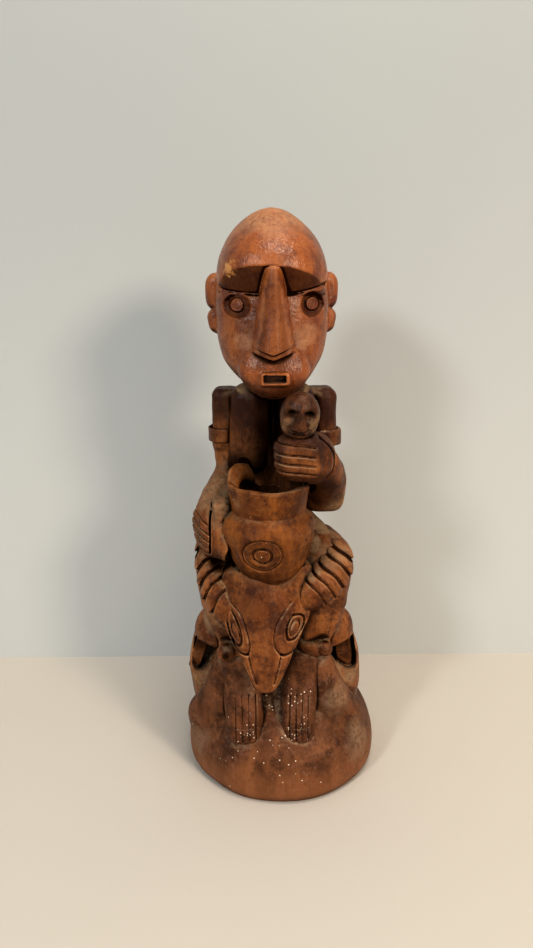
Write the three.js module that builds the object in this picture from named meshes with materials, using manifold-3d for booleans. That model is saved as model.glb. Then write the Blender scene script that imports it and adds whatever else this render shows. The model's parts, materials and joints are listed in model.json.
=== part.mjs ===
// A carved wooden fertility figure, in millimetres, +Z up, standing on the centre of its round base.
// The figure faces -Y. It squats on a domed plinth behind a horned animal's head, holds a pot on that head
// with its right hand, and grips a head-topped pestle in the pot with its left hand. Left and right are the
// figure's own, so the figure's left is +X.
import * as THREE from "three";
import { mergeVertices } from "three/addons/utils/BufferGeometryUtils.js";
import Module from "manifold-3d";

const wasm = await Module();
wasm.setup();

// Driving dimensions.
const HEIGHT = 360; // floor to crown
const BASE_RADIUS = 64.7; // the widest ring of the plinth, which sets the log that the carving was cut from
const BASE_DEPTH = 62; // the plinth is a little shallower than it is wide
const AXIS = -4.5; // the carving stands this far to one side of the plinth's centre
const GAP = 0.3; // space left between neighbouring forms

// Head.
const BROW = 322; // height of the brow's overhanging edge
const BROW_FRONT = -46;
const FACE_TURN = 1.8; // the features sit this far towards the figure's left
const EAR_REACH = 40; // from the head's centre to the rim of an ear

// Pot.
const POT = { x: -7.5, y: -34, floor: 160.5, neck: 188, rim: 206 };

// Pestle: a straight stick from the pot's floor, leaning forwards and to the figure's left.
const PESTLE_FOOT = new THREE.Vector3(0.5, -28, 162.4);
const PESTLE_LEAN = new THREE.Vector3(0.112, -0.25, 1).normalize();
const PESTLE_RADIUS = 6;
const PESTLE_NECK = 78.5; // length of plain stick below the carved head
const BORE_GAP = 0.45; // running space between the stick and the hand

// Arms.
const SHOULDER_REACH = 32; // from the axis to the middle of an upper arm
const UPPER_ARM = 8.6;
const BAND_HEIGHT = 9;
const BAND_MIDDLE = 223.5;
const BAND_PROUD = 3.2;

// Legs and feet.
const KNEE_REACH = 34;
const ANKLE_REACH = 29;
const ANKLE_HEIGHT = 90;
const FOOT_REACH = 20.5;

// ---------------------------------------------------------------------------------------------------------
// Geometry helpers.

const AROUND = 18; // facets round a form

// One number of a smooth curve through four evenly spaced values.
function smooth(a, b, c, d, t) {
  const slope0 = (c - a) / 2;
  const slope1 = (d - b) / 2;
  const rise = c - b;
  return b + t * (slope0 + t * (3 * rise - 2 * slope0 - slope1 + t * (slope0 + slope1 - 2 * rise)));
}

// The row a share t of the way along a list of rows of numbers, interpolated smoothly.
function along(rows, t) {
  const place = t * (rows.length - 1);
  const i = Math.min(Math.floor(place), rows.length - 2);
  const row = (k) => rows[Math.min(Math.max(k, 0), rows.length - 1)];
  return rows[0].map((_, n) => smooth(row(i - 1)[n], row(i)[n], row(i + 1)[n], row(i + 2)[n], place - i));
}

// A closed three.js geometry as a manifold-3d solid.
function solid(geometry) {
  const bare = geometry.clone();
  bare.deleteAttribute("normal");
  bare.deleteAttribute("uv");
  const merged = mergeVertices(bare, 1e-4);
  return new wasm.Manifold(
    new wasm.Mesh({
      numProp: 3,
      vertProperties: merged.attributes.position.array,
      triVerts: new Uint32Array(merged.index.array),
    }),
  );
}

// Replaces every vertex of a geometry by what the function returns for it.
function reshape(geometry, move) {
  const position = geometry.attributes.position;
  const p = new THREE.Vector3();
  for (let i = 0; i < position.count; i++) {
    move(p.fromBufferAttribute(position, i));
    position.setXYZ(i, p.x, p.y, p.z);
  }
  return geometry;
}

// An ellipsoid, turned by tilt (three Euler angles in radians) about its centre.
function ellipsoid([x, y, z], [rx, ry, rz], grow = 0, tilt = [0, 0, 0], facets = 16) {
  const ball = new THREE.SphereGeometry(1, facets, Math.round(facets * 0.6));
  ball.scale(rx + grow, ry + grow, rz + grow);
  ball.applyMatrix4(new THREE.Matrix4().makeRotationFromEuler(new THREE.Euler(...tilt)));
  return solid(ball.translate(x, y, z));
}

// A form with an oval section at each height. Each row is [z, middle x, half width, front y, back y],
// and steps is the number of rings from one row to the next.
function oval(rows, grow = 0, around = AROUND, steps = 1) {
  const levels = steps * (rows.length - 1);
  const profile = [new THREE.Vector2(0, 0)];
  for (let i = 0; i <= levels; i++) profile.push(new THREE.Vector2(1, i / levels));
  profile.push(new THREE.Vector2(0, 1));
  const bottomUp = rows[0][0] < rows[rows.length - 1][0] ? rows : [...rows].reverse();
  const drum = new THREE.LatheGeometry(profile, around);
  return solid(
    reshape(drum, (p) => {
      const [z, middle, width, front, back] = along(bottomUp, p.y);
      const end = p.y <= 0 ? -grow : p.y >= 1 ? grow : 0;
      const depth = (back - front) / 2;
      p.set(middle + p.x * (width + grow), (front + back) / 2 - p.z * (depth + grow), z + end);
    }),
  );
}

// A form turned round a vertical axis. Each profile point is [radius, z], from the axis back to the axis.
function turned([x, y], points, grow = 0, around = 28) {
  const outline = points.map(([r, z]) => new THREE.Vector2(r > 0 ? r + grow : 0, z));
  outline[0].y -= grow;
  outline[outline.length - 1].y += grow;
  const form = new THREE.LatheGeometry(outline, around).rotateX(Math.PI / 2);
  return solid(form.translate(x, y, 0));
}

// A limb with round ends along a curve. Each row is [x, y, z, half width across, half depth], and across
// is square to the curve and to the direction facing.
function limb(rows, grow = 0, facing = [0, 1, 0], levels = 8, around = 12) {
  const length = 2;
  const capsule = new THREE.CapsuleGeometry(1, length, 3, around, levels);
  const at = (t) => new THREE.Vector3(...along(rows, t));
  return solid(
    reshape(capsule, (p) => {
      const t = Math.min(Math.max(p.y / length + 0.5, 0), 1);
      const [, , , across, deep] = along(rows, t);
      const tangent = at(Math.min(t + 0.01, 1)).sub(at(Math.max(t - 0.01, 0))).normalize();
      const side = new THREE.Vector3().crossVectors(new THREE.Vector3(...facing), tangent).normalize();
      const face = new THREE.Vector3().crossVectors(side, tangent);
      const beyond = Math.sign(p.y) * Math.max(Math.abs(p.y) - length / 2, 0);
      const { x, z } = p;
      p.copy(at(t));
      p.addScaledVector(side, x * (across + grow));
      p.addScaledVector(face, z * (deep + grow));
      p.addScaledVector(tangent, beyond * (Math.min(across, deep) + grow));
    }),
  );
}

// A box of the given size, turned by tilt about its centre.
function box([x, y, z], [dx, dy, dz], tilt = [0, 0, 0]) {
  const cube = new THREE.BoxGeometry(dx, dy, dz);
  cube.applyMatrix4(new THREE.Matrix4().makeRotationFromEuler(new THREE.Euler(...tilt)));
  return solid(cube.translate(x, y, z));
}

const join = (...parts) => parts.reduce((a, b) => a.add(b));

// The largest of the pieces that a cut leaves.
function largest(form) {
  return form.decompose().reduce((a, b) => (b.volume() > a.volume() ? b : a));
}

// ---------------------------------------------------------------------------------------------------------
// The forms. Each takes grow, so that a neighbour can be cut to fit round it, and side, which is +1 for the
// figure's left and -1 for its right.

function base(grow = 0) {
  const rows = [
    [0, 0, BASE_RADIUS - 3, 3 - BASE_DEPTH, BASE_DEPTH - 3],
    [5, 0, BASE_RADIUS, -BASE_DEPTH, BASE_DEPTH],
    [18, 0, BASE_RADIUS - 0.8, 0.6 - BASE_DEPTH, BASE_DEPTH - 0.8],
    [29, -0.5, 61, -59.5, 59],
    [38, -1, 57, -55, 55],
    [46, -2, 50, -48, 48],
    [52, -3, 41, -38, 41],
    [56, AXIS, 28, -26, 32],
  ];
  return oval(rows, grow, 32);
}

function trunk(grow = 0) {
  const rows = [
    [44, AXIS, 42, -8, 44],
    [62, AXIS, 38, -8, 43],
    [82, AXIS, 34, -6, 42],
    [104, AXIS, 32, -5, 42],
    [124, AXIS, 30, -6, 41],
    [140, AXIS, 29, -7, 38],
    [152, AXIS, 26, -6, 33],
  ];
  return oval(rows, grow);
}

function leg(side, grow = 0) {
  const x = (reach) => AXIS + side * reach;
  const rows = [
    [x(14), 14, 168, 11, 12],
    [x(27), 2, 158, 14, 14],
    [x(KNEE_REACH), -12, 142, 15.5, 15],
    [x(KNEE_REACH + 1), -19, 124, 13, 13],
    [x(ANKLE_REACH + 2), -25, 106, 10, 11],
    [x(ANKLE_REACH), -28, ANKLE_HEIGHT - 2, 8.5, 10],
  ];
  return limb(rows, grow, [0, 1, 0.4], 10, 12);
}

function anklet(side, grow = 0) {
  const x = AXIS + side * ANKLE_REACH;
  const ring = [
    [4, ANKLE_HEIGHT - 4],
    [10, ANKLE_HEIGHT - 4],
    [12.2, ANKLE_HEIGHT - 2],
    [12.2, ANKLE_HEIGHT + 2],
    [10, ANKLE_HEIGHT + 4],
    [4, ANKLE_HEIGHT + 4],
    [4, ANKLE_HEIGHT - 4],
  ];
  const outline = ring.map(([r, z]) => new THREE.Vector2(r + (r > 4 ? grow : 0), z));
  const band = solid(new THREE.LatheGeometry(outline, 16).rotateX(Math.PI / 2).translate(x, -28, 0));
  return join(band, ellipsoid([x + side * 5, -34.5, ANKLE_HEIGHT + 2], [6, 5.5, 6], grow, [0, 0, 0], 12));
}

function foot(side, grow = 0) {
  const x = AXIS + side * FOOT_REACH;
  const lean = side * 1.2;
  const rows = [
    [34, x, 11.5, -53, -22],
    [40, x, 12.4, -54, -20],
    [48, x, 12.6, -52.5, -18],
    [58, x + lean, 12.4, -49, -17],
    [70, x + 2.5 * lean, 11.6, -44.5, -17],
    [80, x + 4.5 * lean, 10.2, -41, -18],
    [85, x + 6 * lean, 9, -39, -19],
  ];
  return oval(rows, grow, 16);
}

// The carved loop beside each leg: a domed cap, a flat strut under it, and a round strut that curls below.
function sideLoop(side, grow = 0) {
  const x = (reach) => AXIS + side * reach;
  const cap = ellipsoid([x(41), -1, 94], [14.5, 15, 18], grow).subtract(
    box([x(41), -1, 82], [60, 60, 24 - 2 * grow], [0, side * -0.18, 0]),
  );
  const strut = box([x(46.5), 0, 80], [8 + 2 * grow, 15 + 2 * grow, 34], [0, side * -0.16, 0]);
  const curl = [
    [x(50), 1, 96, 5.5, 8],
    [x(55), 1, 80, 4.6, 8],
    [x(55.5), 0, 66, 5, 9],
    [x(49), -3, 57, 6, 10],
    [x(40), -7, 62, 6, 10],
    [x(35), -10, 74, 4.5, 8],
  ];
  return join(cap, strut, limb(curl, grow, [0, 1, 0], 12, 10));
}

function animalHead(grow = 0) {
  const rows = [
    [82.5, -9.8, 1.5, -61.5, -57],
    [86, -9.8, 6, -62, -52],
    [92, -9.6, 10.5, -61.6, -46],
    [99, -9.4, 15, -60.6, -39],
    [107, -9.2, 19.2, -59.2, -32],
    [116, -9, 22.5, -57.6, -23],
    [125, -8.6, 24.5, -55.6, -15],
    [135, -8, 25, -53, -8],
    [143, -7.5, 23.5, -50, -4],
    [151, -7, 19, -46, -3],
  ];
  return oval(rows, grow, 20);
}

function horn(side, grow = 0) {
  const x = (reach) => AXIS + side * reach;
  const rows = [
    [x(38), 2, 160, 8, 5.5],
    [x(42.5), -10, 153, 10.5, 7.5],
    [x(40), -23, 143, 12, 8.5],
    [x(33), -35, 134, 12.5, 9],
    [x(25), -42, 127.5, 11, 8.5],
  ];
  return limb(rows, grow, [-0.35 * side, 0.9, -0.2], 8, 12);
}

function potOutline(grow = 0) {
  const profile = [
    [0, 145],
    [11, 145],
    [17.5, 149],
    [22, 153.5],
    [25.4, 160],
    [27.4, 168],
    [28, 175],
    [26.8, 182],
    [24, 186.5],
    [21.6, 188.4],
    [21.8, 191],
    [23.2, 198],
    [24.8, POT.rim],
    [0, POT.rim],
  ];
  return turned([POT.x, POT.y], profile, grow);
}

// The pot is hollow, and a stump of its rim still stands at the figure's right.
function pot() {
  const cavity = [
    [0, POT.floor],
    [15, POT.floor],
    [19.8, POT.floor + 4],
    [21.2, 173],
    [19.8, 182],
    [18.4, POT.neck],
    [21.4, POT.rim],
    [21.4, POT.rim + 14],
    [0, POT.rim + 14],
  ];
  const stump = ellipsoid([POT.x - 17, POT.y + 1, POT.rim - 2], [8.4, 9, 9.6], 0, [0, 0, 0], 14);
  return join(potOutline(), stump).subtract(turned([POT.x, POT.y], cavity, 0, 24));
}

function torso(grow = 0) {
  const rows = [
    [152.4, AXIS, 26, -6, 33],
    [162, AXIS, 27, -4, 33],
    [175, AXIS, 22, -2, 29],
    [190, AXIS, 20, -3, 27],
    [203, AXIS, 23, -10, 27],
    [216, AXIS, 25, -13, 28],
    [232, AXIS, 26, -12, 29],
    [244, AXIS, 26, -9, 28],
    [253, AXIS, 19, -6, 26],
    [262, AXIS, 15, -8, 25],
    [276, AXIS, 14, -8, 24],
  ];
  return oval(rows, grow, 20);
}

// The figure's right arm reaches down to the side of the pot.
function rightArm(grow = 0) {
  const x = (reach) => AXIS - reach;
  const upper = [
    [x(SHOULDER_REACH - 4), 11, 244, 9, 9],
    [x(SHOULDER_REACH), 10, 236, 9, 10],
    [x(SHOULDER_REACH + 1), 9, 222, UPPER_ARM, 9.5],
    [x(SHOULDER_REACH + 2), 7, 206, 8, 9.5],
    [x(SHOULDER_REACH + 4), 2, 194, 9.5, 9.5],
    [x(SHOULDER_REACH + 7), -9, 186, 10.5, 10],
  ];
  const hand = [
    [x(39.5), -10, 183, 9, 9],
    [x(39), -20, 178, 10.5, 11],
    [x(36), -30, 174, 11, 12.5],
    [x(31), -38, 172, 9, 11.5],
  ];
  return join(limb(upper, grow, [0, 1, 0], 9, 12), limb(hand, grow, [0, 0, 1], 6, 12));
}

// The figure's left arm bends at the elbow and comes up to grip the pestle.
function leftArm(grow = 0) {
  const x = (reach) => AXIS + reach;
  const arm = [
    [x(SHOULDER_REACH - 4), 11, 244, 9, 9],
    [x(SHOULDER_REACH), 10, 236, 9, 10],
    [x(SHOULDER_REACH + 1), 9, 222, UPPER_ARM, 9.5],
    [x(SHOULDER_REACH + 2), 7, 204, 9, 10.5],
    [x(SHOULDER_REACH + 2), 0, 188, 12, 13],
    [x(SHOULDER_REACH + 1), -16, 192, 11, 12],
    [x(SHOULDER_REACH - 2), -30, 206, 10, 11],
    [x(SHOULDER_REACH - 8), -40, 220, 10, 11],
  ];
  const fist = [
    [4, -45.5, 225.8, 13, 11.5],
    [12, -46.5, 225.8, 13.4, 11.8],
    [20, -45, 226, 12.6, 10.5],
  ];
  return join(limb(arm, grow, [1, 0, 0], 12, 12), limb(fist, grow, [0, 1, 0], 4, 16));
}

function armband(side, grow = 0) {
  const inner = UPPER_ARM + 1.1;
  const outer = UPPER_ARM + BAND_PROUD;
  const low = BAND_MIDDLE - BAND_HEIGHT / 2;
  const high = BAND_MIDDLE + BAND_HEIGHT / 2;
  const ring = [
    [inner - 4, low],
    [outer - 1.5 + grow, low - grow],
    [outer + grow, low + 1.5],
    [outer + grow, high - 1.5],
    [outer - 1.5 + grow, high + grow],
    [inner - 4, high],
    [inner - 4, low],
  ];
  const outline = ring.map(([r, z]) => new THREE.Vector2(r, z));
  const x = AXIS + side * (SHOULDER_REACH + 0.8);
  return solid(new THREE.LatheGeometry(outline, 18).rotateX(Math.PI / 2).scale(1, 1.06, 1).translate(x, 9, 0));
}

// The head: an egg-shaped cranium with an overhanging brow, a long nose, a muzzle and two-lobed ears.
function head(grow = 0) {
  const face = [
    [251, AXIS + 0.5, 7, -33, -12],
    [256, AXIS + 0.3, 14, -37.5, -6],
    [263, AXIS, 20.5, -40.5, 4],
    [271, AXIS, 26, -40, 14],
    [282, AXIS, 30.5, -37.5, 24],
    [296, AXIS, 32.3, -35.5, 30],
    [310, AXIS, 32.8, -34, 32],
    [BROW, AXIS, 31.5, -34, 32],
    [334, AXIS, 28, -34, 30],
    [344, AXIS, 22.8, -30.5, 26],
    [350, AXIS, 17.8, -26, 22],
    [355, AXIS, 11.8, -19.5, 16],
    [358.6, AXIS, 6, -13, 9],
    [HEIGHT, AXIS, 2, -8, 4],
  ];
  const brow = [
    [316, AXIS, 31, -38, 10],
    [319, AXIS, 31.8, -42.5, 14],
    [BROW, AXIS, 31.6, BROW_FRONT, 16],
    [328, AXIS, 30, -45.4, 16],
    [337, AXIS, 26.6, -40.5, 16],
    [347, AXIS, 20, -29.5, 14],
  ];
  const nose = [
    [AXIS + FACE_TURN - 2.5, -42, 324, 4.6, 4],
    [AXIS + FACE_TURN - 1.6, -44, 311, 7, 5.6],
    [AXIS + FACE_TURN - 1, -46, 298, 9.6, 7.6],
    [AXIS + FACE_TURN - 1, -46.5, 287.5, 11.6, 9],
  ];
  const ears = [1, -1].map((side) => {
    const x = (reach) => AXIS + side * reach;
    return join(
      ellipsoid([x(EAR_REACH - 7), 4, 313], [7, 6.5, 10.5], grow, [0.15, 0, 0], 12),
      ellipsoid([x(EAR_REACH - 7.5), 2, 297], [6.6, 6, 7.5], grow, [0, 0, 0], 12),
    );
  });
  const muzzle = ellipsoid([AXIS + FACE_TURN - 0.6, -33, 269], [18, 12, 11], grow);
  return join(
    oval(face, grow, 22),
    oval(brow, grow, 22),
    limb(nose, grow, [0, 1, 0], 5, 12),
    muzzle,
    ...ears,
  );
}

// The mouth is a shallow slot.
function carvedHead() {
  return head().subtract(box([AXIS + FACE_TURN, -46, 267.5], [13, 14, 4.2]));
}

function pestle(grow = 0) {
  const stick = new THREE.CylinderGeometry(PESTLE_RADIUS + grow, PESTLE_RADIUS + grow, PESTLE_NECK, 20);
  const upright = stick.translate(0, PESTLE_NECK / 2, 0).rotateX(Math.PI / 2);
  const skull = new THREE.SphereGeometry(1, 18, 12).scale(11 + grow, 10 + grow, 13.6 + grow);
  const turn = new THREE.Matrix4().makeRotationFromQuaternion(
    new THREE.Quaternion().setFromUnitVectors(new THREE.Vector3(0, 0, 1), PESTLE_LEAN),
  );
  const tall = skull.translate(0, 0, PESTLE_NECK + 9.5);
  const whole = join(solid(upright), solid(tall)).transform(turn.toArray());
  return whole.translate(PESTLE_FOOT.toArray());
}

// ---------------------------------------------------------------------------------------------------------
// Assembly. A form earlier in the list keeps its whole shape, and each later one is cut to clear it.

const polished = { color: 0x9c5a30, roughness: 0.35, metalness: 0 };
const dark = { color: 0x5a3722, roughness: 0.6, metalness: 0 };
const dusty = { color: 0x6e4b36, roughness: 0.8, metalness: 0 };
const grey = { color: 0x55402f, roughness: 0.55, metalness: 0 };

const forms = [
  ["pestle", grey, pestle],
  ["pot", dark, potOutline, pot],
  ["head", polished, head, carvedHead],
  ["left_armband", dark, (grow) => armband(1, grow)],
  ["right_armband", dark, (grow) => armband(-1, grow)],
  ["left_arm", dark, leftArm],
  ["right_arm", dark, rightArm],
  ["torso", dark, torso],
  ["animal_head", dark, animalHead],
  ["left_horn", dark, (grow) => horn(1, grow)],
  ["right_horn", dark, (grow) => horn(-1, grow)],
  ["base", dusty, base],
  ["left_anklet", dark, (grow) => anklet(1, grow)],
  ["right_anklet", dark, (grow) => anklet(-1, grow)],
  ["left_foot", dusty, (grow) => foot(1, grow)],
  ["right_foot", dusty, (grow) => foot(-1, grow)],
  ["left_leg", dark, (grow) => leg(1, grow)],
  ["right_leg", dark, (grow) => leg(-1, grow)],
  ["left_side_loop", dark, (grow) => sideLoop(1, grow)],
  ["right_side_loop", dark, (grow) => sideLoop(-1, grow)],
  ["trunk", dark, trunk],
];

// Whether two solids' bounding boxes come within the gap of each other.
function near(a, b) {
  const [p, q] = [a.boundingBox(), b.boundingBox()];
  return [0, 1, 2].every((n) => p.min[n] < q.max[n] + GAP && q.min[n] < p.max[n] + GAP);
}

// A manifold-3d solid as a named three.js mesh.
function asMesh(form, name, finish) {
  const { numProp, numVert, vertProperties, triVerts } = form.getMesh();
  const place = new Float32Array(numVert * 3);
  for (let i = 0; i < numVert; i++) place.set(vertProperties.subarray(i * numProp, i * numProp + 3), i * 3);
  const geometry = new THREE.BufferGeometry();
  geometry.setAttribute("position", new THREE.BufferAttribute(place, 3));
  geometry.setIndex(new THREE.BufferAttribute(triVerts, 1));
  geometry.computeVertexNormals();
  const mesh = new THREE.Mesh(geometry, new THREE.MeshStandardMaterial(finish));
  mesh.name = name;
  return mesh;
}

const figure = new THREE.Group();
const cutters = [];
for (const [name, finish, outline, carved = outline] of forms) {
  let form = carved();
  for (const cutter of cutters) if (near(form, cutter)) form = form.subtract(cutter);
  figure.add(asMesh(largest(form), name, finish));
  cutters.push(outline(name === "pestle" ? BORE_GAP : GAP));
}

export default figure;
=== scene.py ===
import json
import math
from functools import partial

import bpy
import numpy as np
import openvdb
from mathutils import Euler, Matrix, Vector


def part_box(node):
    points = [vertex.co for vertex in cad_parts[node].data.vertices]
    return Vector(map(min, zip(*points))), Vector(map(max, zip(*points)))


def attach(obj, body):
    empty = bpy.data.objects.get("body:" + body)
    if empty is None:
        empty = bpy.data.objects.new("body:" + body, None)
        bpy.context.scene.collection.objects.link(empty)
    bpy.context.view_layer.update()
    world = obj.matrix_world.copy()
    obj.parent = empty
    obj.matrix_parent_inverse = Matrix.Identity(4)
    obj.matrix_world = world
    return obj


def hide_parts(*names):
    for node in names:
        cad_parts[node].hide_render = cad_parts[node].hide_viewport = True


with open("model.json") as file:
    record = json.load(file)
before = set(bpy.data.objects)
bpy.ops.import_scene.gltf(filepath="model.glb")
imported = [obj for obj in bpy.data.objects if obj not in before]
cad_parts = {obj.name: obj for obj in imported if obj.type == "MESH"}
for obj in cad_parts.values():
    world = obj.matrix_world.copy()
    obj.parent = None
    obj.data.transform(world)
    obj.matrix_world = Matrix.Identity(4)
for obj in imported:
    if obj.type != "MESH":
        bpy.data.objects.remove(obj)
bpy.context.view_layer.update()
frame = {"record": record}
scene = bpy.context.scene

# The figure is one carved log with a loose pestle. Each carved form is a signed distance field in
# millimetres, in the CAD's frame, cut and joined as a carver would, and meshed on its own.
# Left and right are the figure's own: the figure's left is +X, and it faces -Y.

F = np.float32
MM = 0.001


def mm_box(node):
    low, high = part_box(node)
    return np.array(low) / MM, np.array(high) / MM


POT_LOW, POT_HIGH = mm_box("pot")
POT_X, POT_Y = (POT_LOW[0] + POT_HIGH[0]) / 2, (POT_LOW[1] + POT_HIGH[1]) / 2
HEAD_LOW, HEAD_HIGH = mm_box("head")
AXIS = (HEAD_LOW[0] + HEAD_HIGH[0]) / 2  # the carving's middle plane
CROWN = HEAD_HIGH[2]
LIFT = next(j for j in frame["record"]["behaviour"]["joints"] if j["name"] == "pestle_lift")
LEAN = np.array(LIFT["axis"], F)
PESTLE_FOOT = np.array([0.5, -28.0, 162.4], F)
PESTLE_RADIUS = 6.0
SMALL_HEAD = PESTLE_FOOT + LEAN * 88.6  # the middle of the pestle's carved head

# --------------------------------------
# Distance fields.


class Field:
    """A regular grid over a box, and the distance to a shape at each of its points."""

    def __init__(self, low, high, step):
        self.low = np.array(low, F)
        self.step = step
        count = np.ceil((np.array(high) - self.low) / step).astype(int) + 1
        self.spread([(self.low[i] + step * np.arange(count[i])).astype(F) for i in range(3)])
        self.d = None

    def spread(self, axes):
        self.axes = axes
        self.x, self.y, self.z = axes[0][:, None, None], axes[1][None, :, None], axes[2][None, None, :]

    def part(self, low, high):
        """The part of the grid within a box, as (slices, the grid's part), or None if it is empty."""
        slices = []
        for i in range(3):
            a, b = np.searchsorted(self.axes[i], (low[i], high[i]))
            if a >= b:
                return None
            slices.append(slice(a, b))
        part = Field.__new__(Field)
        part.step = self.step
        part.spread([axis[s] for axis, s in zip(self.axes, slices)])
        return tuple(slices), part


def unit(value):
    return np.clip(value, 0, 1)


def join(a, b, k=1.5):
    h = unit(0.5 + 0.5 * (b - a) / k)
    return b + (a - b) * h - k * h * (1 - h)


def cut(a, b, k=0.6):
    """Shape a without shape b, with the edge rounded over k."""
    return -join(-a, b, k)


def both(a, b, k=0.6):
    return -join(-a, -b, k)


def local(f, centre, turn=None):
    x, y, z = f.x - F(centre[0]), f.y - F(centre[1]), f.z - F(centre[2])
    if turn is None:
        return x, y, z
    m = np.array(Euler(turn).to_matrix(), F)
    return tuple(x * m[0, i] + y * m[1, i] + z * m[2, i] for i in range(3))


def ball(f, centre, radii, turn=None):
    x, y, z = local(f, centre, turn)
    r = np.array(radii, F)
    x, y, z = x / r[0], y / r[1], z / r[2]
    a = np.sqrt(x * x + y * y + z * z)
    b = np.sqrt((x / r[0]) ** 2 + (y / r[1]) ** 2 + (z / r[2]) ** 2)
    return a * (a - 1) / np.maximum(b, 1e-6)


def block(f, centre, size, edge=1.0, turn=None):
    x, y, z = local(f, centre, turn)
    q = [np.abs(v) - F(s / 2 - edge) for v, s in zip((x, y, z), size)]
    out = np.sqrt(sum(np.maximum(v, 0) ** 2 for v in q))
    return out + np.minimum(np.maximum(np.maximum(q[0], q[1]), q[2]), 0) - F(edge)


def half_space(f, point, normal):
    """Everything on the far side of the plane from its normal."""
    n = np.array(normal, F) / np.linalg.norm(normal)
    return (f.x - F(point[0])) * n[0] + (f.y - F(point[1])) * n[1] + (f.z - F(point[2])) * n[2]


def smooth_rows(rows, count):
    """Rows of numbers resampled along a smooth curve through them."""
    rows = np.array(rows, float)
    ends = np.vstack([2 * rows[0] - rows[1], rows, 2 * rows[-1] - rows[-2]])
    t = np.linspace(0, len(rows) - 1, count)
    i = np.minimum(t.astype(int), len(rows) - 2)
    u = (t - i)[:, None]
    a, b, c, d = (ends[i + n] for n in range(4))
    return 0.5 * (2 * b + (c - a) * u + (2 * a - 5 * b + 4 * c - d) * u**2 + (3 * b - a - 3 * c + d) * u**3)


def limb(f, points, count=9, flat=None):
    """A round bar through points of x, y, z, radius. flat is (direction, how many times thinner that way)."""
    rows = smooth_rows(points, count).astype(F)
    best = None
    for a, b in zip(rows[:-1], rows[1:]):
        s = b[:3] - a[:3]
        x, y, z = f.x - a[0], f.y - a[1], f.z - a[2]
        t = unit((x * s[0] + y * s[1] + z * s[2]) / max(float(s @ s), 1e-6))
        x, y, z = x - t * s[0], y - t * s[1], z - t * s[2]
        if flat:
            n = np.array(flat[0], F) / np.linalg.norm(flat[0])
            along = (x * n[0] + y * n[1] + z * n[2]) * F(flat[1] - 1)
            x, y, z = x + along * n[0], y + along * n[1], z + along * n[2]
        d = np.sqrt(x * x + y * y + z * z) - (a[3] + t * (b[3] - a[3]))
        best = d if best is None else np.minimum(best, d)
    return best


def oval(f, rows, power=2.0, ends=3.0):
    """A form with an oval section at each height. Each row is z, middle x, half width, front y, back y."""
    table = smooth_rows(rows, 8 * len(rows))
    z = f.axes[2]
    columns = (np.interp(z, table[:, 0], table[:, n]).astype(F) for n in range(1, 5))
    middle, width, front, back = (column[None, None, :] for column in columns)
    depth = (back - front) / 2
    x = np.abs(f.x - middle) / width
    y = np.abs(f.y - (front + back) / 2) / depth
    r = np.maximum((x**power + y**power) ** F(1 / power), 1e-4)
    slope = np.hypot((x / r) ** (power - 1) / width, (y / r) ** (power - 1) / depth)
    d = (r - 1) / np.maximum(slope, 1e-4)
    d = both(d, F(rows[0][0]) - f.z, ends)
    return both(d, f.z - F(rows[-1][0]), ends)


def turned(f, centre, profile):
    """A form turned about a vertical axis, from its closed outline of radius, z."""
    r = np.hypot(f.x - F(centre[0]), f.y - F(centre[1]))
    z = f.z
    best, inside = None, None
    for (r0, z0), (r1, z1) in zip(profile, profile[1:] + profile[:1]):
        er, ez = F(r1 - r0), F(z1 - z0)
        pr, pz = r - F(r0), z - F(z0)
        t = unit((pr * er + pz * ez) / max(float(er * er + ez * ez), 1e-6))
        d = (pr - er * t) ** 2 + (pz - ez * t) ** 2
        best = d if best is None else np.minimum(best, d)
        crosses = ((z0 <= z) != (z1 <= z)) & (er * pz * np.sign(ez) > pr * ez * np.sign(ez))
        inside = crosses if inside is None else inside ^ crosses
    return np.where(inside, -1, 1).astype(F) * np.sqrt(best)


def line(f, d, points, width, depth, through=(0, 1, 0), count=None, reach=9, sharp=1.0):
    """Cuts a gouged line into d along points, seen along the direction through.
    A negative depth raises one."""
    points = np.array(points, float)
    rows = smooth_rows(points, count or 3 * len(points)).astype(F)
    n = np.array(through, F) / np.linalg.norm(through)
    margin = width + 0.5 + reach * np.abs(n)
    found = f.part(rows.min(0) - margin, rows.max(0) + margin)
    if not found:
        return d
    slices, g = found
    best = None
    for a, b in zip(rows[:-1], rows[1:]):
        s = b - a
        s = s - n * (s @ n)
        x, y, z = g.x - a[0], g.y - a[1], g.z - a[2]
        along = x * n[0] + y * n[1] + z * n[2]
        x, y, z = x - along * n[0], y - along * n[1], z - along * n[2]
        t = unit((x * s[0] + y * s[1] + z * s[2]) / max(float(s @ s), 1e-6))
        e = (x - t * s[0]) ** 2 + (y - t * s[1]) ** 2 + (z - t * s[2]) ** 2
        best = e if best is None else np.minimum(best, e)
    u = unit(1 - np.sqrt(best) / F(width))
    d[slices] += F(depth) * (u * u * (3 - 2 * u)) ** F(sharp)
    return d


def at(y, points):
    """Points drawn from the front, as x and z, put at a depth."""
    return [(x, y, z) for x, z in points]


def wobble(f, size, height, seed):
    """A slow unevenness left by the knife."""
    rng = np.random.default_rng(seed)
    total = 0
    for _ in range(5):
        k = rng.normal(size=3)
        k = (k / np.linalg.norm(k) * 2 * np.pi / size * rng.uniform(0.7, 1.5)).astype(F)
        total = total + np.sin(f.x * k[0] + f.y * k[1] + f.z * k[2] + F(rng.uniform(0, 6.28)))
    return (total * F(height / 2.2)).astype(F)


def mirrored(side):
    """Turns a reach from the middle plane into an x."""
    return lambda reach: AXIS + side * reach


# --------------------------------------
# The carved forms. Each takes a field's grid and gives the distance at its points.


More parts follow.
